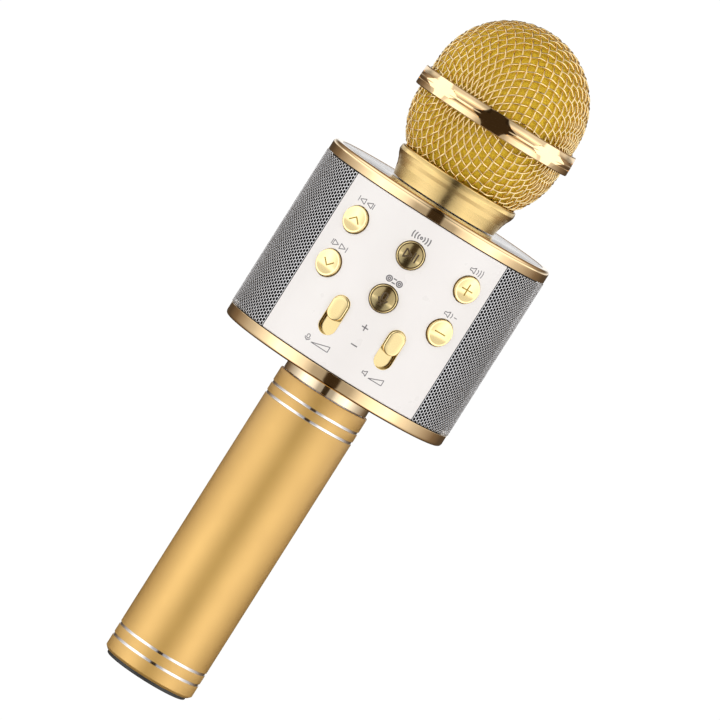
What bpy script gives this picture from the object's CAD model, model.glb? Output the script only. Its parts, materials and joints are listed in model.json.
"""Karaoke microphone: the visual model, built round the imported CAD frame.

Every place and size is read from the frame, in metres. The microphone stands upright with its
control panel towards -Y. Each visible CAD piece is either kept, with a procedural material, or
stood for by a finer mesh that rides on the same body.
"""
import json
import math

import bmesh
import bpy
import numpy as np
from mathutils import Matrix, Vector


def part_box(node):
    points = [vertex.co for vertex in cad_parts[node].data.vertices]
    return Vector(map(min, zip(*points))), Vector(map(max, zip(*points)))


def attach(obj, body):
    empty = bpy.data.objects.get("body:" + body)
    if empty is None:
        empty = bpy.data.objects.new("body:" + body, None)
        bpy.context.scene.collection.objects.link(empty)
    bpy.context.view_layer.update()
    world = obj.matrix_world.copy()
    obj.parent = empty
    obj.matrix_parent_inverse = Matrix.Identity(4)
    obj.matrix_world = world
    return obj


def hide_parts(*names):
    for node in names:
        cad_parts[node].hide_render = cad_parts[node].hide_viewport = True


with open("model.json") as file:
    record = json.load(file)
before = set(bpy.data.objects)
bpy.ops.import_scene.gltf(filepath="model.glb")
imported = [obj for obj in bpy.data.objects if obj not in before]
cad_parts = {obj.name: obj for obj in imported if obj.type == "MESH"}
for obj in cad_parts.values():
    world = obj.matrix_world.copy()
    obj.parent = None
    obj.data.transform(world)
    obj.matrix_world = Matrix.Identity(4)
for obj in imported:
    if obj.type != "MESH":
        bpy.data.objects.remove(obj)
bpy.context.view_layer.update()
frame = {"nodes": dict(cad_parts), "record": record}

MM = 0.001
BUTTONS = ("up", "play", "plus", "down", "mic", "minus")
SIDES = ("left", "right")


# ---- places read from the frame

def low(node):
    """Lowest corner of a CAD node."""
    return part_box(node)[0]


def high(node):
    """Highest corner of a CAD node."""
    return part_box(node)[1]


def middle(node):
    """Centre of a CAD node's box."""
    return (low(node) + high(node)) / 2


BODY_R = high("right_speaker_grille").x
PANEL_LOW = low("front_panel").z
PANEL_HIGH = high("front_panel").z
PANEL_HALF = high("front_panel").x  # half width of the front panel
PANEL_WALL = 2.0 * MM
BALL_R = high("grille_upper").x
BALL_HIGH = high("grille_upper").z - BALL_R  # centre of the upper hemisphere
BALL_LOW_EDGE = low("grille_lower").z
BALL_LOW = BALL_LOW_EDGE + BALL_R * math.sin(math.radians(49.5))
RING_MID = middle("grille_ring").z
RING_HALF = (high("grille_ring").z - low("grille_ring").z) / 2
TUBE_R = high("handle_tube").x
TUBE_LOW = low("handle_tube").z
TUBE_HIGH = high("handle_tube").z


# ---- materials

def feed(node, output, inputs):
    """Set or link a node's inputs, and return one of its outputs."""
    for socket, value in inputs.items():
        if isinstance(value, bpy.types.NodeSocket):
            node.id_data.links.new(value, node.inputs[socket])
        else:
            node.inputs[socket].default_value = value
    return node.outputs[output]


class Material:
    """A Principled material with helpers for procedural detail in object coordinates."""

    def __init__(self, name, colour, roughness, metallic=0.0):
        self.data = bpy.data.materials.new(name)
        self.data.use_nodes = True
        self.nodes = self.data.node_tree.nodes
        self.links = self.data.node_tree.links
        self.shader = self.nodes["Principled BSDF"]
        self.coordinates = self.nodes.new("ShaderNodeTexCoord").outputs["Object"]
        self.height = None
        self.set("Base Color", (*colour, 1.0))
        self.set("Roughness", roughness)
        self.set("Metallic", metallic)

    def set(self, socket, value):
        """Set a plain value on the shader."""
        self.shader.inputs[socket].default_value = value
        return self

    def noise(self, scale, detail=3.0, stretch=None):
        """Fractal noise; scale is features per metre."""
        source = self.coordinates
        if stretch:
            mapping = self.nodes.new("ShaderNodeMapping")
            source = feed(mapping, "Vector", {"Vector": source, "Scale": stretch})
        node = self.nodes.new("ShaderNodeTexNoise")
        return feed(node, "Fac", {"Vector": source, "Scale": scale, "Detail": detail})

    def cells(self, scale):
        """Distance to the nearest cell centre, for a leathery grain."""
        node = self.nodes.new("ShaderNodeTexVoronoi")
        return feed(node, "Distance", {"Vector": self.coordinates, "Scale": scale})

    def map(self, value, low_out, high_out):
        """Map the middle range of a texture value to another range."""
        node = self.nodes.new("ShaderNodeMapRange")
        return feed(node, "Result", {"Value": value, "From Min": 0.3, "From Max": 0.7,
                                     "To Min": low_out, "To Max": high_out})

    def vary_roughness(self, value, low_out, high_out):
        """Drive the roughness from a texture value."""
        self.links.new(self.map(value, low_out, high_out), self.shader.inputs["Roughness"])

    def vary_colour(self, value, first, second):
        """Blend the base colour between two colours by a texture value."""
        node = self.nodes.new("ShaderNodeMix")
        node.data_type = "RGBA"
        factor = self.map(value, 0.0, 1.0)
        mixed = feed(node, "Result", {"A": (*first, 1.0), "B": (*second, 1.0), "Factor": factor})
        self.links.new(mixed, self.shader.inputs["Base Color"])

    def bump(self, value, depth):
        """Add a bump of a real depth in metres; later bumps build on earlier ones."""
        inputs = {"Strength": 1.0, "Distance": depth, "Height": value}
        if self.height is not None:
            inputs["Normal"] = self.height
        self.height = feed(self.nodes.new("ShaderNodeBump"), "Normal", inputs)
        self.links.new(self.height, self.shader.inputs["Normal"])


def gold(name, colour, shadow, roughness, grain):
    """Plated metal: slight colour drift, uneven polish and a very fine surface grain."""
    made = Material(name, colour, roughness, 1.0)
    made.vary_colour(made.noise(45.0), colour, shadow)
    made.vary_roughness(made.noise(220.0, 4.0), roughness * 0.85, roughness * 1.2)
    made.bump(made.noise(2600.0, 2.0), grain)
    return made


def satin_gold(name, colour, shadow, roughness):
    """Bead-blasted and anodised metal: an even fine grain and faint handling marks."""
    made = Material(name, colour, roughness, 0.62)
    made.vary_colour(made.noise(30.0, 5.0), colour, shadow)
    made.vary_roughness(made.noise(90.0, 6.0), roughness * 0.92, roughness * 1.12)
    made.bump(made.noise(5200.0, 3.0), 0.004 * MM)
    made.set("Specular Tint", (0.40, 0.22, 0.10, 1.0)).set("Specular IOR Level", 0.1)
    made.set("Coat Weight", 1.0).set("Coat Roughness", 0.32)
    return made


def moulded(name, colour, shadow, roughness, grain_scale, grain_depth):
    """Moulded plastic: slight shade drift, uneven gloss and a moulding grain."""
    made = Material(name, colour, roughness)
    made.vary_colour(made.noise(35.0, 4.0), colour, shadow)
    made.vary_roughness(made.noise(160.0, 3.0), roughness * 0.9, roughness * 1.15)
    made.bump(made.noise(grain_scale, 3.0), grain_depth)
    return made


def liner_cloth():
    """Tightly woven mustard cloth over the foam: ribs, crossing threads and a soft sheen."""
    made = Material("liner_cloth", (0.85, 0.57, 0.03), 0.75)
    made.set("Sheen Weight", 0.08).set("Sheen Roughness", 0.4)
    made.vary_colour(made.noise(1500.0, 3.0), (0.86, 0.60, 0.022), (0.60, 0.38, 0.012))
    made.bump(made.noise(1.0, 0.0, (4200.0, 4200.0, 900.0)), 0.05 * MM)
    made.bump(made.noise(1.0, 0.0, (900.0, 900.0, 4200.0)), 0.04 * MM)
    return made


def soft_rubber(name, colour):
    """Matt rubber or treated paper with a leathery grain."""
    made = Material(name, colour, 0.8)
    made.vary_roughness(made.noise(300.0), 0.7, 0.9)
    made.bump(made.cells(1800.0), 0.03 * MM)
    return made


def speaker_cloth():
    """Thin black acoustic cloth: a fine weave that reflects almost nothing."""
    made = Material("speaker_cloth", (0.010, 0.010, 0.011), 0.95)
    made.set("Specular IOR Level", 0.0)
    made.vary_colour(made.noise(1400.0, 2.0), (0.006, 0.006, 0.007), (0.016, 0.016, 0.017))
    made.bump(made.noise(3000.0, 1.0), 0.02 * MM)
    return made


def circuit_board():
    """Green solder mask over faint copper tracks."""
    made = Material("board_mask", (0.02, 0.17, 0.07), 0.35)
    made.vary_colour(made.noise(1.0, 0.0, (60.0, 60.0, 900.0)), (0.02, 0.15, 0.06), (0.03, 0.27, 0.10))
    made.bump(made.noise(900.0, 2.0), 0.02 * MM)
    return made


def cell_wrap():
    """Shrink sleeve with slight wrinkles."""
    made = Material("cell_sleeve", (0.04, 0.16, 0.42), 0.3)
    made.vary_roughness(made.noise(120.0), 0.25, 0.4)
    made.bump(made.noise(1.0, 2.0, (60.0, 60.0, 400.0)), 0.03 * MM)
    return made


def frosted_lens():
    """Clear frosted plastic."""
    made = Material("frosted_lens", (0.80, 0.88, 0.95), 0.3)
    made.set("Transmission Weight", 0.4)
    made.bump(made.noise(3000.0), 0.005 * MM)
    return made


LOOKS = {
    "ball_mesh": gold("wire_gold", (0.98, 0.79, 0.44), (0.88, 0.66, 0.31), 0.07, 0.001 * MM),
    "liner_foam": liner_cloth(),
    "polished_gold": gold("polished_gold", (0.97, 0.73, 0.43), (0.93, 0.67, 0.37), 0.06, 0.0004 * MM),
    "collar_gold": gold("collar_gold", (0.78, 0.565, 0.245), (0.73, 0.515, 0.195), 0.20, 0.0010 * MM),
    "button_gold": gold("button_gold", (0.98, 0.80, 0.43), (0.94, 0.74, 0.36), 0.13, 0.0006 * MM),
    "neck_gold": gold("neck_gold", (0.94, 0.78, 0.55), (0.90, 0.73, 0.50), 0.08, 0.0005 * MM),
    "handle_gold": satin_gold("handle_gold", (0.76, 0.47, 0.135), (0.71, 0.43, 0.12), 0.42),
    "panel_white": moulded("panel_white", (0.87, 0.84, 0.82), (0.84, 0.81, 0.79), 0.30, 900.0, 0.004 * MM),
    "cover_plate": gold("cover_silver", (0.97, 0.97, 0.98), (0.94, 0.94, 0.95), 0.16, 0.001 * MM),
    "speaker_mesh": gold("mesh_silver", (0.95, 0.96, 0.99), (0.84, 0.85, 0.88), 0.25, 0.003 * MM),
    "black_plastic": moulded("black_plastic", (0.016, 0.016, 0.017), (0.03, 0.03, 0.03), 0.42, 1600.0,
                             0.02 * MM),
    "core_plastic": moulded("core_plastic", (0.02, 0.02, 0.021), (0.03, 0.03, 0.03), 0.6, 1200.0, 0.02 * MM),
    "plain_steel": gold("plain_steel", (0.75, 0.75, 0.77), (0.62, 0.62, 0.64), 0.22, 0.003 * MM),
    "contact_brass": gold("contact_brass", (0.85, 0.68, 0.34), (0.75, 0.56, 0.24), 0.28, 0.003 * MM),
    "black_rubber": soft_rubber("black_rubber", (0.025, 0.025, 0.026)),
    "board_green": circuit_board(),
    "cell_wrap": cell_wrap(),
    "light_lens": frosted_lens(),
}
SIGN_GOLD = gold("sign_gold", (0.58, 0.42, 0.14), (0.50, 0.35, 0.10), 0.40, 0.001 * MM)
SIGN_DARK = moulded("sign_dark", (0.06, 0.035, 0.012), (0.09, 0.055, 0.02), 0.35, 2500.0, 0.002 * MM)
CUT_SILVER = gold("cut_silver", (0.95, 0.93, 0.92), (0.88, 0.85, 0.83), 0.10, 0.0006 * MM)
CLOTH_BLACK = speaker_cloth()
PRINT_GREY = moulded("print_grey", (0.16, 0.15, 0.16), (0.20, 0.19, 0.20), 0.5, 2500.0, 0.002 * MM)


def dress_cad_nodes():
    """Give every carried-over CAD node the procedural material of its record slot."""
    for entry in frame["record"]["subparts"]:
        node = frame["nodes"][entry["node"]]
        node.data.materials.clear()
        node.data.materials.append(LOOKS[entry["material_slot"]].data)


# ---- making and placing pieces

SLOT_OF = {entry["node"]: entry["material_slot"] for entry in frame["record"]["subparts"]}
BODY_OF = {node: body for body, nodes in frame["record"]["behaviour"]["bodies"].items() for node in nodes}


def placed(name, data):
    """A new object, linked to the scene."""
    obj = bpy.data.objects.new(name, data)
    bpy.context.scene.collection.objects.link(obj)
    return obj


def add_piece(name, mesh, stands_for=None, body=None, slot=None, look=None, sharp=32):
    """Link a mesh as a piece. One that stands for a CAD node takes its body and slot."""
    obj = placed(name, mesh)
    body = body or BODY_OF[stands_for]
    slot = slot or SLOT_OF[stands_for]
    mesh.materials.clear()
    mesh.materials.append((look or LOOKS[slot]).data)
    mesh.shade_smooth()
    mesh.set_sharp_from_angle(angle=math.radians(sharp))
    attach(obj, body)
    if stands_for:
        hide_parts(stands_for)
    return obj


def turned_outwards(mesh, fill=False):
    """Turn a mesh's faces outwards, after filling any open ends."""
    work = bmesh.new()
    work.from_mesh(mesh)
    if fill:
        bmesh.ops.holes_fill(work, edges=[edge for edge in work.edges if edge.is_boundary])
    bmesh.ops.recalc_face_normals(work, faces=work.faces)
    return finished(work, mesh)


def finished(work, mesh):
    """Write a bmesh into a mesh and free it."""
    work.to_mesh(mesh)
    work.free()
    return mesh


def polar(radius, angle, z):
    """Point at a distance and an angle round the axis; angle 0 is +X."""
    return Vector((radius * math.cos(angle), radius * math.sin(angle), z))


def mesh_of(vertices, faces):
    """A mesh from vertices and faces, with its faces turned outwards."""
    mesh = bpy.data.meshes.new("piece")
    mesh.from_pydata([tuple(v) for v in vertices], [], faces)
    return turned_outwards(mesh)


def fillet(corners, closed=False, steps=4):
    """Round the corners of a chain of (a, b, radius) points; a radius of 0 keeps the corner."""
    points = []
    count = len(corners)
    for i, (a, b, radius) in enumerate(corners):
        at_end = not closed and i in (0, count - 1)
        if radius == 0 or at_end:
            points.append((a, b))
            continue
        here = Vector((a, b))
        before = Vector(corners[i - 1][:2]) - here
        after = Vector(corners[(i + 1) % count][:2]) - here
        half = before.angle(after) / 2
        reach = min(radius / math.tan(half), before.length * 0.49, after.length * 0.49)
        start = here + before.normalized() * reach
        end = here + after.normalized() * reach
        for k in range(steps + 1):
            t = k / steps
            bend = start * (1 - t) ** 2 + here * 2 * t * (1 - t) + end * t ** 2
            points.append((bend.x, bend.y))
    return points


def arc(centre_z, radius, start, end, steps):
    """(radius, height, 0) points of an arc about a point on the axis; degrees above level."""
    angles = [math.radians(start + (end - start) * i / steps) for i in range(steps + 1)]
    return [(radius * math.cos(a), centre_z + radius * math.sin(a), 0.0) for a in angles]


def sweep(rings, closed_rings=True, closed_chain=False):
    """Skin a list of rings of points; a ring of one point closes the skin."""
    vertices = []
    starts = []
    for ring in rings:
        starts.append(len(vertices))
        vertices.extend(ring)
    faces = []
    pairs = list(zip(range(len(rings)), range(1, len(rings))))
    if closed_chain:
        pairs.append((len(rings) - 1, 0))
    for first, second in pairs:
        a, b = starts[first], starts[second]
        many = max(len(rings[first]), len(rings[second]))
        last = many if closed_rings else many - 1
        for k in range(last):
            n = (k + 1) % many
            if len(rings[first]) == 1:
                faces.append((a, b + k, b + n))
            elif len(rings[second]) == 1:
                faces.append((a + k, b, a + n))
            else:
                faces.append((a + k, b + k, b + n, a + n))
    return mesh_of(vertices, faces)


def lathe(corners, sides=96, closed=False, steps=4, place=None):
    """Turn a chain of (radius, height, fillet) corners about local Z."""
    rings = []
    for radius, height in fillet(corners, closed, steps):
        if radius < 1e-7:
            rings.append([(0.0, 0.0, height)])
            continue
        angles = [2 * math.pi * k / sides for k in range(sides)]
        rings.append([polar(radius, a, height) for a in angles])
    mesh = sweep(rings, closed_chain=closed)
    if place is not None:
        mesh.transform(place)
    return mesh


# ---- the round body's surface

def wall_point(angle, inset, height):
    """Point on the body's wall, moved inwards; angle 0 is +X."""
    return polar(BODY_R - inset, angle, height)


def wall_at(s, inset, height):
    """Point on the wall at a distance round it from the front middle, towards +X."""
    return wall_point(s / BODY_R - math.pi / 2, inset, height)


def surface_frame(x, z):
    """Frame on the front of the body's surface: local Z points out and local Y up."""
    y = -math.sqrt(BODY_R ** 2 - x ** 2)
    out = Vector((x, y, 0.0)).normalized()
    up = Vector((0.0, 0.0, 1.0))
    matrix = Matrix((up.cross(out), up, out)).transposed().to_4x4()
    matrix.translation = (x, y, z)
    return matrix


def front_frame(node):
    """Surface frame behind a front control, found from the middle of its box."""
    centre = middle(node)
    x = centre.x
    for _ in range(20):
        place = surface_frame(x, centre.z)
        offset = place.inverted() @ centre
        x += offset.x * place[0][0]
    return surface_frame(x, centre.z)


# ---- ball head

WIRE = 0.29 * MM  # wire radius
CRIMP = 0.30 * MM  # how far a wire swings over and under
PITCH = 2.95 * MM  # wire spacing
WEAVE_TURN = math.radians(-90 + 21)  # direction in which the wires run square
NET_R = BALL_R - WIRE - CRIMP  # radius of the net's middle surface


def on_capsule(point):
    """Nearest point on a hemisphere about the origin that carries on down as a cylinder."""
    reach = point.length if point.z > 0 else math.hypot(point.x, point.y)
    scale = NET_R / reach
    return Vector((point.x * scale, point.y * scale, point.z * scale if point.z > 0 else point.z))


def meridian(s, quarter):
    """Point at an arc length from the pole, on the meridian over local X or local Y."""
    bend = NET_R * math.pi / 2
    across = NET_R * math.sin(min(s, bend) / NET_R)
    height = NET_R * math.cos(s / NET_R) if s < bend else bend - s
    return Vector((0.0, across, height)) if quarter else Vector((across, 0.0, height))


def drape_net(cells):
    """Drape a square net of equal-sided cells from the pole: one quarter, as a grid of points."""
    grid = {(0, 0): meridian(0.0, 0)}
    for i in range(1, cells + 1):
        grid[i, 0] = meridian(i * PITCH, 0)
        grid[0, i] = meridian(i * PITCH, 1)
    for i in range(1, cells + 1):
        for j in range(1, cells + 1):
            near_a, near_b = grid[i - 1, j], grid[i, j - 1]
            point = on_capsule(near_a + near_b - grid[i - 1, j - 1])
            for _ in range(30):
                for near in (near_a, near_b):
                    away = point - near
                    point = on_capsule(point + away * (0.5 * (PITCH / away.length - 1)))
            grid[i, j] = point
    return grid


def weave_paths(grid, cells, floor, finer=5):
    """Centre lines of both wire families, crimped over and under, above a height."""
    def node(i, j):
        point = grid[abs(i), abs(j)]
        return Vector((math.copysign(point.x, i), math.copysign(point.y, j), point.z))

    paths = []
    span = range(-cells, cells + 1)
    for family in (0, 1):
        for j in span:
            line = [node(i, j) if family == 0 else node(j, i) for i in span]
            run = []
            for k in range((len(line) - 1) * finer + 1):
                index = min(k // finer, len(line) - 2)
                t = k / finer - index
                p0 = line[max(index - 1, 0)]
                p1, p2 = line[index], line[index + 1]
                p3 = line[min(index + 2, len(line) - 1)]
                bend = ((p2 - p0) * t + (p0 * 2 - p1 * 5 + p2 * 4 - p3) * t * t
                        + (p1 * 3 - p0 - p2 * 3 + p3) * t ** 3)
                point = on_capsule(p1 + bend / 2)
                if point.z < floor:
                    if len(run) > 2:
                        paths.append(run)
                    run = []
                    continue
                normal = Vector((point.x, point.y, max(point.z, 0.0))).normalized()
                phase = math.cos(math.pi * (index + t - cells)) * (-1) ** j
                swing = CRIMP * phase * (1 if family == 0 else -1)
                run.append((point + normal * swing, normal))
            if len(run) > 2:
                paths.append(run)
    return paths


def tube_faces(base, count, order):
    """Faces of a closed-ended tube; order lists a row's vertices round the tube."""
    sides = len(order)
    faces = []
    for k in range(count - 1):
        a, b = base + k * sides, base + (k + 1) * sides
        faces += [(a + m, b + m, b + n, a + n) for m, n in zip(order, (*order[1:], order[0]))]
    last = base + (count - 1) * sides
    return [*faces, tuple(base + m for m in order), tuple(last + m for m in reversed(order))]


def wire_mesh(paths, radius, sides=8):
    """Round wires along paths of (point, surface normal) pairs, with closed ends."""
    vertices, faces = [], []
    for path in paths:
        base = len(vertices)
        count = len(path)
        for k, (point, normal) in enumerate(path):
            ahead = path[min(k + 1, count - 1)][0] - path[max(k - 1, 0)][0]
            side = ahead.cross(normal).normalized()
            lift = side.cross(ahead).normalized()
            for m in range(sides):
                angle = 2 * math.pi * m / sides
                vertices.append(point + side * (radius * math.cos(angle))
                                + lift * (radius * math.sin(angle)))
        faces += tube_faces(base, count, range(sides))
    return mesh_of(vertices, faces)


def build_weave():
    """Upper dome and lower bowl, each woven from the same draped net."""
    cells = 19
    grid = drape_net(cells)
    turn = Matrix.Rotation(WEAVE_TURN, 4, "Z")
    upper = wire_mesh(weave_paths(grid, cells, RING_MID + 0.5 * MM - BALL_HIGH), WIRE)
    upper.transform(Matrix.Translation((0, 0, BALL_HIGH)) @ turn)
    add_piece("ball_weave_upper", upper, "grille_upper", sharp=80)

    flip = Matrix.Rotation(math.pi, 4, "X")
    reach = BALL_LOW - (RING_MID - 0.5 * MM)
    paths = weave_paths(grid, cells, reach)
    edge = BALL_LOW - (BALL_LOW_EDGE + 0.5 * MM)
    lower = wire_mesh([path for path in split_at_pole(paths, edge) if len(path) > 2], WIRE)
    lower.transform(Matrix.Translation((0, 0, BALL_LOW)) @ turn @ flip)
    add_piece("ball_weave_lower", lower, "grille_lower", sharp=80)


def split_at_pole(paths, edge):
    """Break each path where it runs over the open pole of the bowl."""
    parts = []
    for path in paths:
        part = []
        for pair in path:
            if pair[0].z < edge:
                part.append(pair)
            elif part:
                parts.append(part)
                part = []
        if part:
            parts.append(part)
    return parts


def build_liner():
    """Cloth-covered foam inside the weave."""
    outer = high("foam_liner").x
    wall = 3.0 * MM
    floor_angle = -49
    profile = [*arc(BALL_HIGH, outer, 90, 0, 24), *arc(BALL_LOW, outer, 0, floor_angle, 14),
               *arc(BALL_LOW, outer - wall, -58, 0, 10), *arc(BALL_HIGH, outer - wall, 0, 90, 12)]
    add_piece("foam_and_cloth", lathe(profile), "foam_liner")


# Height from the ring's middle and outside radius, in millimetres.
RING_PROFILE = ((0.0, 30.2), (0.35, 30.12), (0.7, 29.80), (1.2, 29.52), (2.0, 29.32), (3.45, 29.16))
RING_BORE = 27.75 * MM
RING_GROOVE = 0.30 * MM  # depth of the two fine grooves
# Height of each row above the ring's middle in millimetres, and whether it lies in a groove.
RING_LEVELS = ((0.0, 0), (0.3, 0), (0.6, 0), (0.9, 0), (1.16, 0), (1.2, 1), (1.42, 1), (1.46, 0), (2.0, 0),
               (2.6, 0), (3.15, 0))
RING_FLAT = 29.0 * MM  # distance of a flat from the axis
RING_TAPER = 0.032  # the ring narrows upwards by this slope
RING_FLATS = 8


def ring_radius(z):
    """Outside radius of the ring at a height from its middle, before the taper."""
    heights, radii = zip(*RING_PROFILE)
    return float(np.interp(abs(z) / MM, heights, radii)) * MM


def ring_row(z, cut=0.0, flat_steps=4, arc_steps=9):
    """One row of the ring's outside: eight flats with arcs between; cut deepens the arcs."""
    taper = RING_TAPER * z
    radius = ring_radius(z) - taper
    distance = RING_FLAT - taper
    half = math.sqrt(radius ** 2 - distance ** 2)
    foot = math.atan2(half, distance)
    points = []
    for flat in range(RING_FLATS):
        turn = -math.pi / 2 + 2 * math.pi * flat / RING_FLATS
        for k in range(flat_steps + 1):
            across = half * (2 * k / flat_steps - 1)
            points.append(Vector((distance * math.cos(turn) - across * math.sin(turn),
                                  distance * math.sin(turn) + across * math.cos(turn), z)))
        gap = 2 * math.pi / RING_FLATS - 2 * foot
        margin = gap * 0.02
        for k in range(arc_steps + 1):
            angle = turn + foot + margin + (gap - 2 * margin) * k / arc_steps
            points.append(polar(radius - cut, angle, z))
    return points


def scaled_row(row, z, inset, bore=None):
    """A row moved to another height, set in by a distance or drawn in to a bore."""
    moved = []
    for point in row:
        radius = math.hypot(point.x, point.y)
        scale = bore / radius if bore else (radius - inset) / radius
        moved.append(Vector((point.x * scale, point.y * scale, z)))
    return moved


def build_ring():
    """Clamp ring: a raised middle bar between two fine grooves, and eight flats."""
    below = [(-height, deep) for height, deep in reversed(RING_LEVELS[1:])]
    rows = [ring_row(height * MM, RING_GROOVE * deep) for height, deep in [*below, *RING_LEVELS]]
    rings = []
    for row, z in ((rows[0], -RING_HALF), (rows[-1], RING_HALF)):
        ends = [scaled_row(row, z, 0.0, RING_BORE), scaled_row(row, z, 0.3 * MM)]
        if z < 0:
            rings += ends + rows
        else:
            rings += list(reversed(ends))
    mesh = sweep(rings, closed_chain=True)
    mesh.transform(Matrix.Translation((0, 0, RING_MID)))
    add_piece("clamp_ring", mesh, "grille_ring", sharp=22)


# Radius, height from the lip and fillet of the collar's corners, in millimetres, down to the foot.
COLLAR_OUTSIDE = ((20.7, 0.0, 0.4), (21.9, 0.0, 1.3), (22.05, -1.9, 0.8), (21.6, -3.2, 1.2),
                  (20.9, -4.5, 1.6), (20.3, -6.1, 2.0), (19.85, -8.0, 1.5))
COLLAR_INSIDE = ((17.4, -3.6, 0.3), (20.7, -0.5, 0.2))
COLLAR_FOOT_R = 19.4
COLLAR_BORE = 17.4


def build_collar():
    """Flared collar: a smooth concave foot and a full, rounded lip."""
    foot, lip = low("head_collar").z, high("head_collar").z
    drop = (foot - lip) / MM
    corners = (*COLLAR_OUTSIDE, (COLLAR_FOOT_R, drop, 0.15), (COLLAR_BORE, drop, 0), *COLLAR_INSIDE)
    profile = [(r * MM, lip + z * MM, f * MM) for r, z, f in corners]
    add_piece("flared_collar", lathe(profile, 128, closed=True, steps=6), "head_collar")


# ---- body shells

RIM_WALL = 1.7 * MM
RIM_TOP = 2.9 * MM  # width of a rim's flat top
RIM_GAP = 0.25 * MM  # how far the rims lie inside the body's wall
TOP_COVER_BORE = 2.6 * MM
NECK_BORE = 13.3 * MM


def rim_profile(outer, inner, rounding):
    """Closed profile of a rim from outer to inner height: upright, rounded over at its outer edge."""
    way = math.copysign(1, outer - inner)
    radius = BODY_R - RIM_GAP
    return [(radius - RIM_WALL, inner, 0.2 * MM), (radius, inner, 0.15 * MM), (radius, outer, rounding),
            (radius - RIM_TOP, outer, 0.3 * MM), (radius - RIM_TOP, outer - way * 0.9 * MM, 0.1 * MM),
            (radius - RIM_WALL, outer - way * 2.7 * MM, 0.1 * MM)]


def washer(node, bore, roundings, sides):
    """Flat ring as high and wide as a CAD node, its four corners rounded by so many millimetres."""
    bottom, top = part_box(node)
    corners = ((bore, top.z), (top.x, top.z), (top.x, bottom.z), (bore, bottom.z))
    profile = [(radius, height, rounding * MM) for (radius, height), rounding in zip(corners, roundings)]
    return lathe(profile, sides, closed=True)


def build_covers():
    """Gold rims and the covers inside them."""
    for where, outer, inner, rounding in (("top", high("top_rim").z, low("top_rim").z, 2.2 * MM),
                                          ("bottom", low("bottom_rim").z, high("bottom_rim").z, 1.4 * MM)):
        rim = lathe(rim_profile(outer, inner, rounding), 200, closed=True, steps=8)
        add_piece(f"gold_{where}_rim", rim, f"{where}_rim", sharp=40)
    add_piece("cover_top", washer("top_cover", TOP_COVER_BORE, (0.2, 0.5, 0, 0), 160), "top_cover")
    add_piece("cover_bottom", washer("bottom_cover", NECK_BORE, (0, 0, 0.3, 0.2), 160), "bottom_cover")


def carve(mesh, cutters):
    """Cut a mesh with closed cutter meshes and return the finished mesh."""
    obj = placed("carved", mesh)
    helpers = []
    for cutter in cutters:
        helper = placed("cutter", cutter)
        helpers.append(helper)
        boolean = obj.modifiers.new("cut", "BOOLEAN")
        boolean.operation = "DIFFERENCE"
        boolean.solver = "EXACT"
        boolean.object = helper
    bpy.context.view_layer.update()
    result = bpy.data.meshes.new_from_object(obj.evaluated_get(bpy.context.evaluated_depsgraph_get()))
    for item in [obj, *helpers]:
        bpy.data.objects.remove(item, do_unlink=True)
    return result


def panel_shell(side, columns=72, rows=60):
    """Curved panel: a finely divided block between the body's wall and its inset."""
    half = math.asin(PANEL_HALF / BODY_R)
    turn = side * math.pi / 2
    angles = [turn - half + 2 * half * k / columns for k in range(columns + 1)]
    edge = 0.25 * MM
    levels = [PANEL_LOW + edge + (PANEL_HIGH - PANEL_LOW - 2 * edge) * k / rows for k in range(rows + 1)]
    chain = [(edge, PANEL_LOW), *[(0.0, z) for z in levels], (edge, PANEL_HIGH),
             (PANEL_WALL, PANEL_HIGH), (PANEL_WALL, PANEL_LOW)]
    return curved_shell(angles, chain)


def curved_shell(angles, chain):
    """Solid that runs round the wall, through angles, with a closed (inset, height) section."""
    rings = [[wall_point(a, inset, z) for a in angles] for inset, z in chain]
    return turned_outwards(sweep(rings, closed_rings=False, closed_chain=True), fill=True)


def obround(length, width, steps=16):
    """Outline of a slot with round ends, its length along local Y."""
    radius, reach = width / 2, (length - width) / 2
    points = []
    for end in (1, -1):
        for k in range(steps + 1):
            angle = math.pi * k / steps
            points.append((end * radius * math.cos(angle), end * (reach + radius * math.sin(angle))))
    return points


def slab(outline, levels, place):
    """Solid between outlines at rising local heights: levels are (height, inset) pairs."""
    centre_x = sum(x for x, _ in outline) / len(outline)
    centre_y = sum(y for _, y in outline) / len(outline)
    rings = [[(centre_x, centre_y, levels[0][0])]]
    for height, inset in levels:
        rings.append([(*shrink(outline, k, inset), height) for k in range(len(outline))])
    rings.append([(centre_x, centre_y, levels[-1][0])])
    mesh = sweep(rings)
    mesh.transform(place)
    return mesh


def shrink(outline, index, inset):
    """One outline point moved inwards along the outline's normal."""
    before = Vector(outline[index - 1])
    here = Vector(outline[index])
    after = Vector(outline[(index + 1) % len(outline)])
    along = (after - before).normalized()
    return here.x - along.y * inset, here.y + along.x * inset


BUTTON_HOLE = 4.9 * MM
SLOT = (14.4 * MM, 6.4 * MM)
CUT_ABOVE = 3 * MM  # how far a cutter stands out of the panel
CUT_BELOW = -4 * MM  # and how far it goes through


def drill(radius, sides, place):
    """Round cutter."""
    profile = [(0, CUT_ABOVE, 0), (radius, CUT_ABOVE, 0), (radius, CUT_BELOW, 0), (0, CUT_BELOW, 0)]
    return lathe(profile, sides, place=place)


def punch(outline, place):
    """Cutter with any outline."""
    return slab(outline, [(CUT_BELOW, 0), (CUT_ABOVE, 0)], place)


def slider_frame(side):
    """Surface frame at the middle of a slider's slot."""
    return front_frame(f"{side}_slider_track")


def build_front_panel():
    """Front panel with its round button holes and slider slots."""
    cutters = [drill(BUTTON_HOLE, 64, front_frame(f"{label}_key_switch")) for label in BUTTONS]
    cutters += [punch(obround(*SLOT), slider_frame(side)) for side in SIDES]
    add_piece("white_front_panel", carve(panel_shell(-1), cutters), "front_panel")


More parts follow.
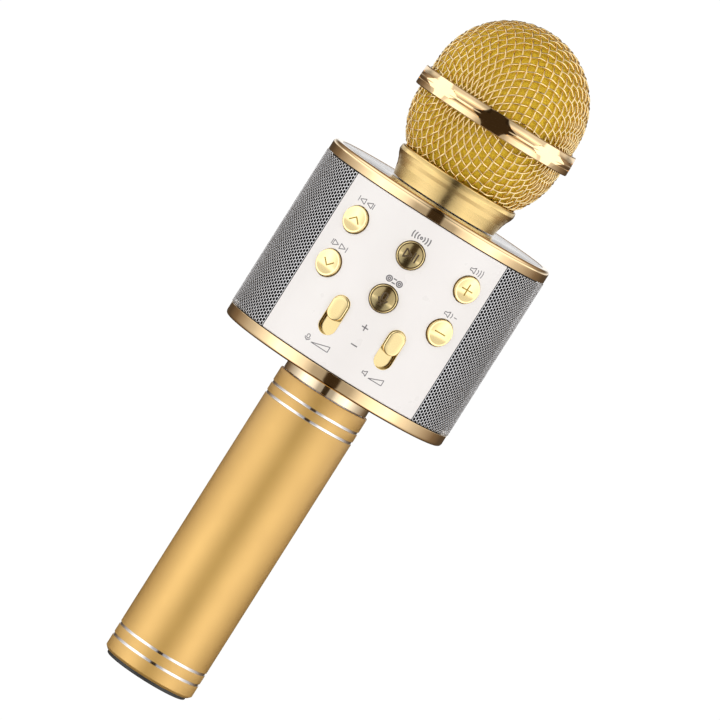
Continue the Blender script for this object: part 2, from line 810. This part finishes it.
def rear_frame(node):
    """Frame of a rear fitting: looks straight back from the panel's face."""
    centre = middle(node)
    return Matrix(((-1, 0, 0, centre.x), (0, 0, 1, BODY_R), (0, 1, 0, centre.z), (0, 0, 0, 1)))


def box_outline(width, height, corner, steps=5):
    """Rectangle with round corners, in the local XY plane."""
    x, y = width / 2, height / 2
    corners = [(x, y, corner), (-x, y, corner), (-x, -y, corner), (x, -y, corner)]
    return fillet(corners, closed=True, steps=steps)


def build_rear_panel():
    """Rear panel with openings for the power switch, light, card, jack and charge socket."""
    cutters = [punch(box_outline(5.6 * MM, 11.5 * MM, 1.0 * MM), rear_frame("power_switch_body")),
               drill(1.5 * MM, 48, rear_frame("charge_light")),
               punch(box_outline(12.4 * MM, 2.0 * MM, 0.5 * MM), rear_frame("card_slot")),
               drill(3.3 * MM, 48, rear_frame("audio_jack")),
               punch(box_outline(8.6 * MM, 3.6 * MM, 0.9 * MM), rear_frame("charge_socket"))]
    add_piece("white_rear_panel", carve(panel_shell(1), cutters), "rear_panel")


def build_speaker_meshes():
    """Perforated metal side grilles: staggered round holes in a thin curved sheet."""
    pitch, hole, seam = 1.33 * MM, 0.58 * MM, 0.35 * MM
    step = pitch * math.sqrt(3) / 2
    half_round = math.pi * BODY_R
    start = BODY_R * math.asin(PANEL_HALF / BODY_R) + seam
    end = half_round - start
    for side, offset in (("right", 0.0), ("left", half_round)):
        columns = int((end - start) / step) + 2
        rows = int((PANEL_HIGH - PANEL_LOW) / pitch) + 2
        first = (start + end) / 2 - step * (columns - 1) / 2
        work = bmesh.new()
        for c in range(columns):
            for r in range(rows):
                s = first + c * step
                z = PANEL_LOW + (r - 0.5 * (c % 2)) * pitch
                add_hole_cell(work, s, z, pitch, hole, (start, end), offset)
        bmesh.ops.remove_doubles(work, verts=work.verts, dist=0.01 * MM)
        bmesh.ops.dissolve_degenerate(work, edges=work.edges, dist=0.01 * MM)
        mesh = finished(work, bpy.data.meshes.new("grille"))
        name = f"{side}_speaker_grille"
        grille = add_piece(f"{side}_perforated_grille", mesh, name, sharp=40)
        solidify = grille.modifiers.new("sheet", "SOLIDIFY")
        solidify.thickness = 0.15 * MM
        solidify.offset = -1.0


def build_dust_cloths():
    """Thin black cloth behind each grille, in front of the speaker."""
    front, back = 1.5 * MM, 1.6 * MM
    bottom, top = PANEL_LOW + 1.0 * MM, PANEL_HIGH - 1.0 * MM
    chain = [(front, bottom), (front, top), (back, top), (back, bottom)]
    for side, middle_angle in (("right", 0.0), ("left", math.pi)):
        half = math.pi / 2 - math.asin(PANEL_HALF / BODY_R) - 0.02
        angles = [middle_angle + half * (k / 16 - 1) for k in range(33)]
        add_piece(f"{side}_dust_cloth", curved_shell(angles, chain), body="body", slot="black_rubber",
                  look=CLOTH_BLACK)


def add_hole_cell(work, s, z, pitch, hole, span, offset):
    """One hexagonal cell with a round hole, kept within the grille's edges."""
    outer, inner = [], []
    for k in range(12):
        angle = math.radians(30 * k)
        reach = pitch / math.sqrt(3) if k % 2 == 0 else pitch / 2
        for ring, radius in ((outer, reach), (inner, hole)):
            at_s = min(max(s + radius * math.cos(angle), span[0]), span[1])
            at_z = min(max(z + radius * math.sin(angle), PANEL_LOW), PANEL_HIGH)
            ring.append(work.verts.new(wall_at(at_s + offset, 0.0, at_z)))
    for k in range(12):
        n = (k + 1) % 12
        work.faces.new((outer[k], outer[n], inner[n], inner[k]))


# ---- controls

DISH = 0.42 * MM
DISH_R = 3.9 * MM
BUTTON_R = 4.55 * MM
BUTTON_RISE = 0.8 * MM


def dish_height(radius):
    """Height of a button's dished face at a distance from its centre."""
    return BUTTON_RISE - DISH * max(0.0, 1 - (radius / DISH_R) ** 2)


def bow(centre, radius, start, end, steps=12):
    """A stroke along an arc, in millimetres and degrees."""
    angles = [math.radians(start + (end - start) * k / steps) for k in range(steps + 1)]
    return [(centre[0] + radius * math.cos(a), centre[1] + radius * math.sin(a)) for a in angles]


def densify(points, step=0.25):
    """Add points along a stroke so that it can follow a curved surface."""
    result = [points[0]]
    for (x0, y0), (x1, y1) in zip(points, points[1:]):
        count = max(1, round(math.hypot(x1 - x0, y1 - y0) / step))
        result += [(x0 + (x1 - x0) * k / count, y0 + (y1 - y0) * k / count) for k in range(1, count + 1)]
    return result


def capsule(x, top, bottom, radius, cradle):
    """A microphone's head and the bow that holds it."""
    head = bow((x, top), radius, 0, 180) + bow((x, bottom), radius, 180, 360) + [(x + radius, top)]
    return [head, bow((x, bottom), cradle, 190, 350)]


def dash(half):
    """A level stroke."""
    return [(-half, 0), (half, 0)]


def cross(half):
    """A plus sign."""
    return [dash(half), [(0, -half), (0, half)]]


# Strokes of each sign, in millimetres.
BUTTON_SIGNS = {
    "up": [[(-2.0, -0.9), (0, 0.95), (2.0, -0.9)]],
    "down": [[(-2.0, 0.9), (0, -0.95), (2.0, 0.9)]],
    "plus": cross(2.1),
    "minus": [dash(2.1)],
    "play": [[(-2.1, 1.5), (-2.1, -1.5), (0.3, 0), (-2.1, 1.5)],
             *[[(x, 1.6), (x, -1.6)] for x in (1.15, 2.15)]],
    "mic": [*capsule(0, 1.3, 0.2, 0.75, 1.6), [(0, -1.4), (0, -2.3)], [(-1.0, -2.3), (1.0, -2.3)]],
}
DARK_SIGNS = ("play", "mic")


def build_buttons():
    """Dished round buttons with raised signs."""
    flange_depth, flange, stem = 2.75 * MM, 5.4 * MM, 1.2 * MM
    for label in BUTTONS:
        place = front_frame(f"{label}_key_switch")
        face = [(r * MM, dish_height(r * MM), 0) for r in (0, 0.6, 1.2, 1.8, 2.4, 3.0, 3.5)]
        profile = [*face, (DISH_R, BUTTON_RISE, 0.25 * MM), (BUTTON_R, BUTTON_RISE, 0.3 * MM),
                   (BUTTON_R, -flange_depth, 0), (flange, -flange_depth, 0.1 * MM),
                   (flange, -flange_depth - 0.8 * MM, 0.1 * MM), (stem, -flange_depth - 0.8 * MM, 0),
                   (stem, -5.2 * MM, 0), (0, -5.2 * MM, 0)]
        add_piece(f"{label}_cap", lathe(profile, 64, place=place), f"{label}_button")
        paths = []
        for stroke in BUTTON_SIGNS[label]:
            path = []
            for x, y in densify(stroke):
                height = dish_height(math.hypot(x, y) * MM) + 0.02 * MM
                path.append((Vector((x * MM, y * MM, height)), Vector((0, 0, 1))))
            paths.append(path)
        sign = wire_mesh(paths, (0.30 if label in DARK_SIGNS else 0.24) * MM)
        sign.transform(place)
        look = SIGN_DARK if label in DARK_SIGNS else SIGN_GOLD
        add_piece(f"{label}_sign", sign, body=f"{label}_button", slot="button_gold", look=look, sharp=60)


KNOB = (8.7 * MM, 5.8 * MM)  # length and width of a slider knob
STEM = (1.2 * MM, 1.6 * MM)
SHIELD = (3.2 * MM, 12.8 * MM)
SHIELD_SHIFT = 2.4 * MM  # how far above a knob's middle its stem and dust shield are


def build_sliders():
    """Slider knobs with a stem and a dust shield behind the track, and a gold lining round each slot."""
    for side in SIDES:
        knob_place = slider_knob_frame(side)
        edge = fillet([(0, -1.8 * MM, 0), (0, 1.0 * MM, 0.6 * MM), (1.6 * MM, 1.0 * MM, 0)], steps=5)
        levels = [(height, inset) for inset, height in edge]
        knob = slab(obround(*KNOB), levels, knob_place)
        stem_place = knob_place @ Matrix.Translation((0, SHIELD_SHIFT, 0))
        stem = slab(box_outline(*STEM, 0), [(-5.2 * MM, 0), (-1.2 * MM, 0)], stem_place)
        shield = slab(box_outline(*SHIELD, 0), [(-3.8 * MM, 0), (-3.5 * MM, 0)], stem_place)
        add_piece(f"{side}_knob", joined(knob, stem, shield), f"{side}_slider_knob")
        lining = slot_lining(obround(*SLOT), -1.9 * MM, 0.03 * MM, 0.13 * MM)
        lining.transform(slider_frame(side))
        add_piece(f"{side}_slot_lining", lining, body="body", slot="polished_gold", look=LOOKS["button_gold"])
        frame["nodes"][f"{side}_slider_track"].data.materials[0] = LOOKS["button_gold"].data


def joined(*meshes):
    """Several meshes in one."""
    work = bmesh.new()
    for mesh in meshes:
        work.from_mesh(mesh)
    return finished(work, bpy.data.meshes.new("joined"))


SHIELD_REACH = SHIELD_SHIFT + SHIELD[1] / 2  # from a knob's middle to the top of its dust shield


def slider_knob_frame(side):
    """Frame of a slider knob at rest: the slot's frame moved to the knob's height."""
    place = slider_frame(side)
    place.translation.z = high(f"{side}_slider_knob").z - SHIELD_REACH
    return place


def slot_lining(outline, bottom, top, wall):
    """Thin upright wall inside a slot."""
    count = len(outline)
    rings = []
    for height, inset in ((bottom, 0.0), (top, 0.0), (top, wall), (bottom, wall)):
        rings.append([(*shrink(outline, k, inset), height) for k in range(count)])
    return sweep(rings, closed_chain=True)


def upright(x):
    """An upright stroke of a skip sign."""
    return [(x, 0.95), (x, -0.95)]


def triangle(back, tip):
    """A triangle of a skip sign, from its upright side to its tip."""
    return [(back, 0.95), (tip, 0), (back, -0.95), (back, 0.95)]


def speaker(back, neck, front, small, large):
    """Outline of a loudspeaker seen from the side."""
    return [(back, small), (neck, small), (front, large), (front, -large), (neck, -small), (back, -small),
            (back, small)]


def wedge(start, end):
    """A volume wedge."""
    return [(start, -0.9), (end, -0.9), (end, 1.0), (start, -0.9)]


SKIP_BACK = [upright(-3.2), triangle(-0.4, -2.6), triangle(2.6, 0.4), upright(3.2)]
PANEL_SIGNS = {
    "up": SKIP_BACK,
    "down": [[(-x, y) for x, y in stroke] for stroke in SKIP_BACK],
    "play": [bow((0, 0), 0.35, 0, 360), *[bow((0, 0), radius, turn - half, turn + half)
                                          for radius, half in ((1.2, 45), (2.2, 32), (3.2, 22))
                                          for turn in (0, 180)]],
    "mic": [*[bow((x, 0), radius, 0, 360, steps)
              for x in (-1.9, 1.9) for radius, steps in ((0.95, 24), (0.4, 12))],
            *[[(-0.6, y), (0.6, y)] for y in (-0.7, 0.7)]],
    "plus": [speaker(-2.9, -2.0, -1.0, 0.4, 1.05),
             *[bow((-1.0, 0), radius, -half, half) for radius, half in ((1.2, 45), (2.2, 32), (3.2, 24))]],
    "minus": [speaker(-2.4, -1.5, -0.5, 0.4, 1.05), bow((-0.5, 0), 1.2, -45, 45), [(1.6, 0), (2.8, 0)]],
    "left": [*capsule(-3.6, 0.5, 0.1, 0.5, 1.0), [(-3.6, -0.9), (-3.6, -1.25)], wedge(-1.8, 4.6)],
    "right": [speaker(-3.9, -3.2, -2.4, 0.35, 0.95), wedge(-1.2, 3.9)],
    "more": cross(1.15),
    "less": [dash(1.15)],
}


def build_prints():
    """Small generic signs printed on the front panel."""
    above = 6.6 * MM
    places = {label: middle(f"{label}_key_switch") for label in BUTTONS}
    for label, at in places.items():
        x = front_frame(f"{label}_key_switch").translation.x
        places[label] = (round(x / MM, 3) * MM, at.z + above)
    for side in SIDES:
        centre = slider_frame(side).translation
        places[side] = (centre.x, centre.z - 10.6 * MM)
    track = middle("left_slider_track").z
    places["more"] = (0.0, track + 1.9 * MM)
    places["less"] = (0.0, track - 4.8 * MM)
    for label, (x, z) in places.items():
        add_print(label, x, z, (0.20 if x == 0.0 else 0.14) * MM)


def add_print(label, x, z, width):
    """One printed sign, as thin ribbons that follow the panel."""
    vertices, faces = [], []
    s0 = BODY_R * math.asin(x / BODY_R)
    for stroke in PANEL_SIGNS[label]:
        points = [Vector((u, v)) * MM for u, v in densify(stroke)]
        base = len(vertices)
        for k, point in enumerate(points):
            ahead = points[min(k + 1, len(points) - 1)] - points[max(k - 1, 0)]
            aside = Vector((-ahead.y, ahead.x)).normalized() * width
            for inset in (-0.02 * MM, 0.03 * MM):
                for way in (1, -1):
                    spot = point + aside * way
                    vertices.append(wall_at(s0 + spot.x, inset, z + spot.y))
        faces += tube_faces(base, len(points), (0, 1, 3, 2))
    mesh = mesh_of(vertices, faces)
    add_piece(f"print_{label}", mesh, body="body", slot="black_plastic", look=PRINT_GREY)


# ---- neck and handle

TUBE_BORE = 15.45 * MM
GROOVE_WIDTH = 0.95 * MM
GROOVE_DEPTH = 0.35 * MM
GROOVE_HEIGHTS = (6.75 * MM, 10.9 * MM, 101.6 * MM, 105.4 * MM)


def build_handle():
    """Handle tube with its grooves, the bright linings in them, the end cap and the neck ring."""
    width, base = GROOVE_WIDTH, TUBE_R - GROOVE_DEPTH
    grooves = []
    for z in reversed(GROOVE_HEIGHTS):
        grooves += [(TUBE_R, z + width / 2, 0.05 * MM), (base, z + width / 2, 0.05 * MM),
                    (base, z - width / 2, 0.05 * MM), (TUBE_R, z - width / 2, 0.05 * MM)]
    profile = [(TUBE_BORE, TUBE_HIGH, 0), (TUBE_R, TUBE_HIGH, 0.25 * MM), *grooves,
               (TUBE_R, TUBE_LOW + 0.9 * MM, 0.5 * MM), (TUBE_R - 0.9 * MM, TUBE_LOW, 0.2 * MM),
               (TUBE_BORE, TUBE_LOW, 0)]
    add_piece("handle_shell", lathe(profile, 160, closed=True), "handle_tube", sharp=25)
    for k, z in enumerate(GROOVE_HEIGHTS):
        half, floor = width / 2 + 0.02 * MM, base + 0.04 * MM
        lining = [(floor, z + half - 0.1 * MM, 0.05 * MM), (floor, z - half + 0.1 * MM, 0.05 * MM),
                  (TUBE_R - 0.04 * MM, z - half, 0), (base - 0.1 * MM, z - half, 0),
                  (base - 0.1 * MM, z + half, 0), (TUBE_R - 0.04 * MM, z + half, 0)]
        add_piece(f"cut_groove_{k + 1}", lathe(lining, 160, closed=True), body="handle", slot="plain_steel",
                  look=CUT_SILVER)
    cap_r = high("end_cap").x
    cap_top = high("end_cap").z
    cap = [(0, cap_top, 0), (cap_r, cap_top, 0.3 * MM), (cap_r, 0, 0.5 * MM), (12 * MM, 0, 0.2 * MM),
           (11.6 * MM, 0.3 * MM, 0.2 * MM), (0, 0.3 * MM, 0)]
    add_piece("black_end_cap", lathe(cap, 128), "end_cap")
    add_piece("polished_neck_ring", washer("neck_ring", NECK_BORE, (0, 0.2, 0.2, 0), 128), "neck_ring")


def build_stub():
    """Hollow stub that the handle screws on to, with a helical thread up to the neck ring."""
    pitch, depth, sides = 1.5 * MM, 0.35 * MM, 96
    outer, shaft, bore = high("neck_stub").x, 13.0 * MM, 11.5 * MM
    bottom, top = low("neck_stub").z, high("neck_stub").z
    angles = [2 * math.pi * k / sides for k in range(sides)]

    def ring(z, radius_at):
        return [polar(radius_at(a), a, z) for a in angles]

    def plain(radius):
        return lambda angle: radius

    def thread(z):
        return lambda angle: outer - depth * abs(2 * ((z / pitch - angle / (2 * math.pi)) % 1.0) - 1)

    steps = int((TUBE_HIGH - bottom) / (0.15 * MM)) - 4
    heights = [bottom + (2 + k) * 0.15 * MM for k in range(steps + 1)]
    rings = [ring(bottom, plain(bore)), ring(bottom, plain(outer - 2 * depth))]
    rings += [ring(z, thread(z)) for z in heights]
    rings += [ring(TUBE_HIGH, plain(outer - depth)), ring(TUBE_HIGH, plain(shaft)), ring(top, plain(shaft)),
              ring(top, plain(bore))]
    add_piece("threaded_neck_stub", sweep(rings, closed_chain=True), "neck_stub", sharp=40)


# ---- camera, light and stage

LEAN = math.radians(32.27)  # how far the microphone leans in the picture
CAMERA_DISTANCE = 2.4
CAMERA_ELEVATION = math.radians(3.92)
FIELD = 237.3 * MM  # width of the picture at the microphone
AIM = Vector((4.2 * MM, 0.0, 126.4 * MM))


def build_camera():
    """Camera level with the body, rolled so that the microphone leans to the right."""
    data = bpy.data.cameras.new("camera")
    data.sensor_width = 36.0
    data.lens = data.sensor_width * CAMERA_DISTANCE / FIELD
    data.clip_start, data.clip_end = 0.1, 30.0
    camera = placed("camera", data)
    back = Vector((0.0, -math.cos(CAMERA_ELEVATION), math.sin(CAMERA_ELEVATION)))
    level = Vector((1.0, 0.0, 0.0))
    up = back.cross(level)
    right = level * math.cos(LEAN) + up * math.sin(LEAN)
    above = up * math.cos(LEAN) - level * math.sin(LEAN)
    matrix = Matrix((right, above, back)).transposed().to_4x4()
    matrix.translation = AIM + back * CAMERA_DISTANCE
    camera.matrix_world = matrix
    bpy.context.scene.camera = camera


FLOOR_HEIGHT = -600 * MM  # far enough down to leave the underside in view
# Name, energy, spread and tilt from overhead of each fill light, in degrees.
FILLS = (("front_fill", 0.80, 100, 72), ("rear_fill", 1.1, 50, -72))
STAGE_WHITE = 1.03  # glow of the floor and the surround
# Stops of the surroundings: angle in degrees, brightness, and warmth from 0 (white) to 1 (brown).
GAP = ((0, 0.04, 1.0), (6.5, 0.05, 1.0))
RISING = (*GAP, (8.5, 0.6, 0), (20, 1.1, 0), (45, 1.8, 0))
NEAR_LEVEL = (*GAP, (8.5, 0.42, 0.1), (20, 0.52, 0.1), (30, 1.10, 0), (45, 1.55, 0), (60, 1.90, 0),
              (76, 1.20, 0), (95, 0.72, 0.05), (113, 0.46, 0.3), (130, 0.22, 0.7), (150, 0.10, 0.8),
              (180, 0.08, 0.8))
ABOVE_LEVEL = (*RISING, (120, 1.8, 0), (132, 0.8, 0), (150, 1.0, 0), (180, 1.1, 0))
HIGH_UP = (*RISING, (100, 1.6, 0), (125, 0.6, 0.5), (150, 0.30, 0.8), (180, 0.25, 0.8))
BY_HEIGHT = ((-90, 0.10, 1), (-65, 0.15, 1), (-48, 0.6, 0.3), (-35, 1.0, 0), (3, 1.0, 0), (6, 0.46, 0),
             (16, 0.48, 0), (24, 0.9, 0), (38, 0.9, 0), (60, 0.35, 0.3), (90, 0.12, 0.5))
BROWN = (1.0, 0.66, 0.36)


def build_world():
    """Soft studio surroundings: two tall bright walls left and right, with a dark gap in front."""
    world = bpy.data.worlds.new("studio")
    world.use_nodes = True
    bpy.context.scene.world = world
    nodes, links = world.node_tree.nodes, world.node_tree.links
    shade = nodes["Background"]
    direction = nodes.new("ShaderNodeTexCoord").outputs["Generated"]
    split = nodes.new("ShaderNodeSeparateXYZ")
    links.new(direction, split.inputs["Vector"])

    def calc(operation, *values):
        node = nodes.new("ShaderNodeMath")
        node.operation = operation
        return feed(node, "Value", dict(enumerate(values)))

    def between(value, first, last, how="LINEAR"):
        """0 to 1 between two angles in degrees."""
        node = nodes.new("ShaderNodeMapRange")
        node.interpolation_type = how
        return feed(node, "Result", {"Value": value, "From Min": math.radians(first),
                                     "From Max": math.radians(last)})

    def ramp(value, stops, first, last):
        """Colour ramp over an angle."""
        made = nodes.new("ShaderNodeValToRGB")
        links.new(between(value, first, last), made.inputs["Fac"])
        elements = made.color_ramp.elements
        while len(elements) < len(stops):
            elements.new(0.5)
        for element, (angle, brightness, warmth) in zip(elements, stops):
            element.position = (angle - first) / (last - first)
            tint = [brightness * (1 - warmth * (1 - channel)) for channel in BROWN]
            element.color = (*tint, 1.0)
        return made.outputs["Color"]

    def mix(blend, factor, first, second):
        node = nodes.new("ShaderNodeMix")
        node.data_type = "RGBA"
        node.blend_type = blend
        return feed(node, "Result", {"Factor": factor, "A": first, "B": second})

    ahead = calc("MULTIPLY", split.outputs["Y"], -1.0)
    turn = calc("ABSOLUTE", calc("ARCTAN2", split.outputs["X"], ahead))
    rise = calc("ARCSINE", split.outputs["Z"])
    near = ramp(turn, NEAR_LEVEL, 0, 180)
    above = ramp(turn, ABOVE_LEVEL, 0, 180)
    high_up = ramp(turn, HIGH_UP, 0, 180)
    walls = mix("MIX", between(rise, -1.0, 0.8, "SMOOTHSTEP"), near, above)
    walls = mix("MIX", between(rise, 7.0, 14.0, "SMOOTHSTEP"), walls, high_up)
    by_height = ramp(rise, BY_HEIGHT, -90, 90)
    links.new(mix("MULTIPLY", 1.0, walls, by_height), shade.inputs["Color"])
    shade.inputs["Strength"].default_value = 1.0


def build_fill():
    """Broad lights from front and rear that brighten matt surfaces without showing in polished ones."""
    for name, energy, spread, turn in FILLS:
        data = bpy.data.lights.new(name, "SUN")
        data.energy = energy
        data.angle = math.radians(spread)
        fill = placed(name, data)
        fill.matrix_world = Matrix.Rotation(math.radians(turn), 4, "X")
        fill.visible_glossy = False


def white_glow(name):
    """Stage material that shows as plain white."""
    material = bpy.data.materials.new(name)
    material.use_nodes = True
    feed(material.node_tree.nodes["Principled BSDF"], "BSDF", {
        "Base Color": (0.0, 0.0, 0.0, 1.0), "Roughness": 1.0, "Specular IOR Level": 0.0,
        "Emission Color": (1.0, 1.0, 1.0, 1.0), "Emission Strength": STAGE_WHITE})
    return material


def build_stage():
    """White floor and a seamless white surround that only the camera sees."""
    floor, surround = bmesh.new(), bmesh.new()
    bmesh.ops.create_circle(floor, cap_ends=True, radius=8.0, segments=96)
    bmesh.ops.create_uvsphere(surround, u_segments=48, v_segments=24, radius=9.0)
    for name, work in (("floor", floor), ("surround", surround)):
        mesh = finished(work, bpy.data.meshes.new(name))
        mesh.materials.append(white_glow(f"{name}_white"))
        obj = placed(name, mesh)
        obj.visible_diffuse = False
        obj.visible_glossy = False
        obj.visible_transmission = False
        obj.visible_shadow = False
        obj.location.z = FLOOR_HEIGHT


def main():
    """Build every piece round the frame."""
    bpy.context.scene.view_settings.view_transform = "Standard"
    dress_cad_nodes()
    build_camera()
    build_world()
    build_fill()
    build_stage()
    build_weave()
    build_liner()
    build_ring()
    build_collar()
    build_covers()
    build_front_panel()
    build_rear_panel()
    build_speaker_meshes()
    build_dust_cloths()
    build_buttons()
    build_sliders()
    build_prints()
    build_handle()
    build_stub()


main()
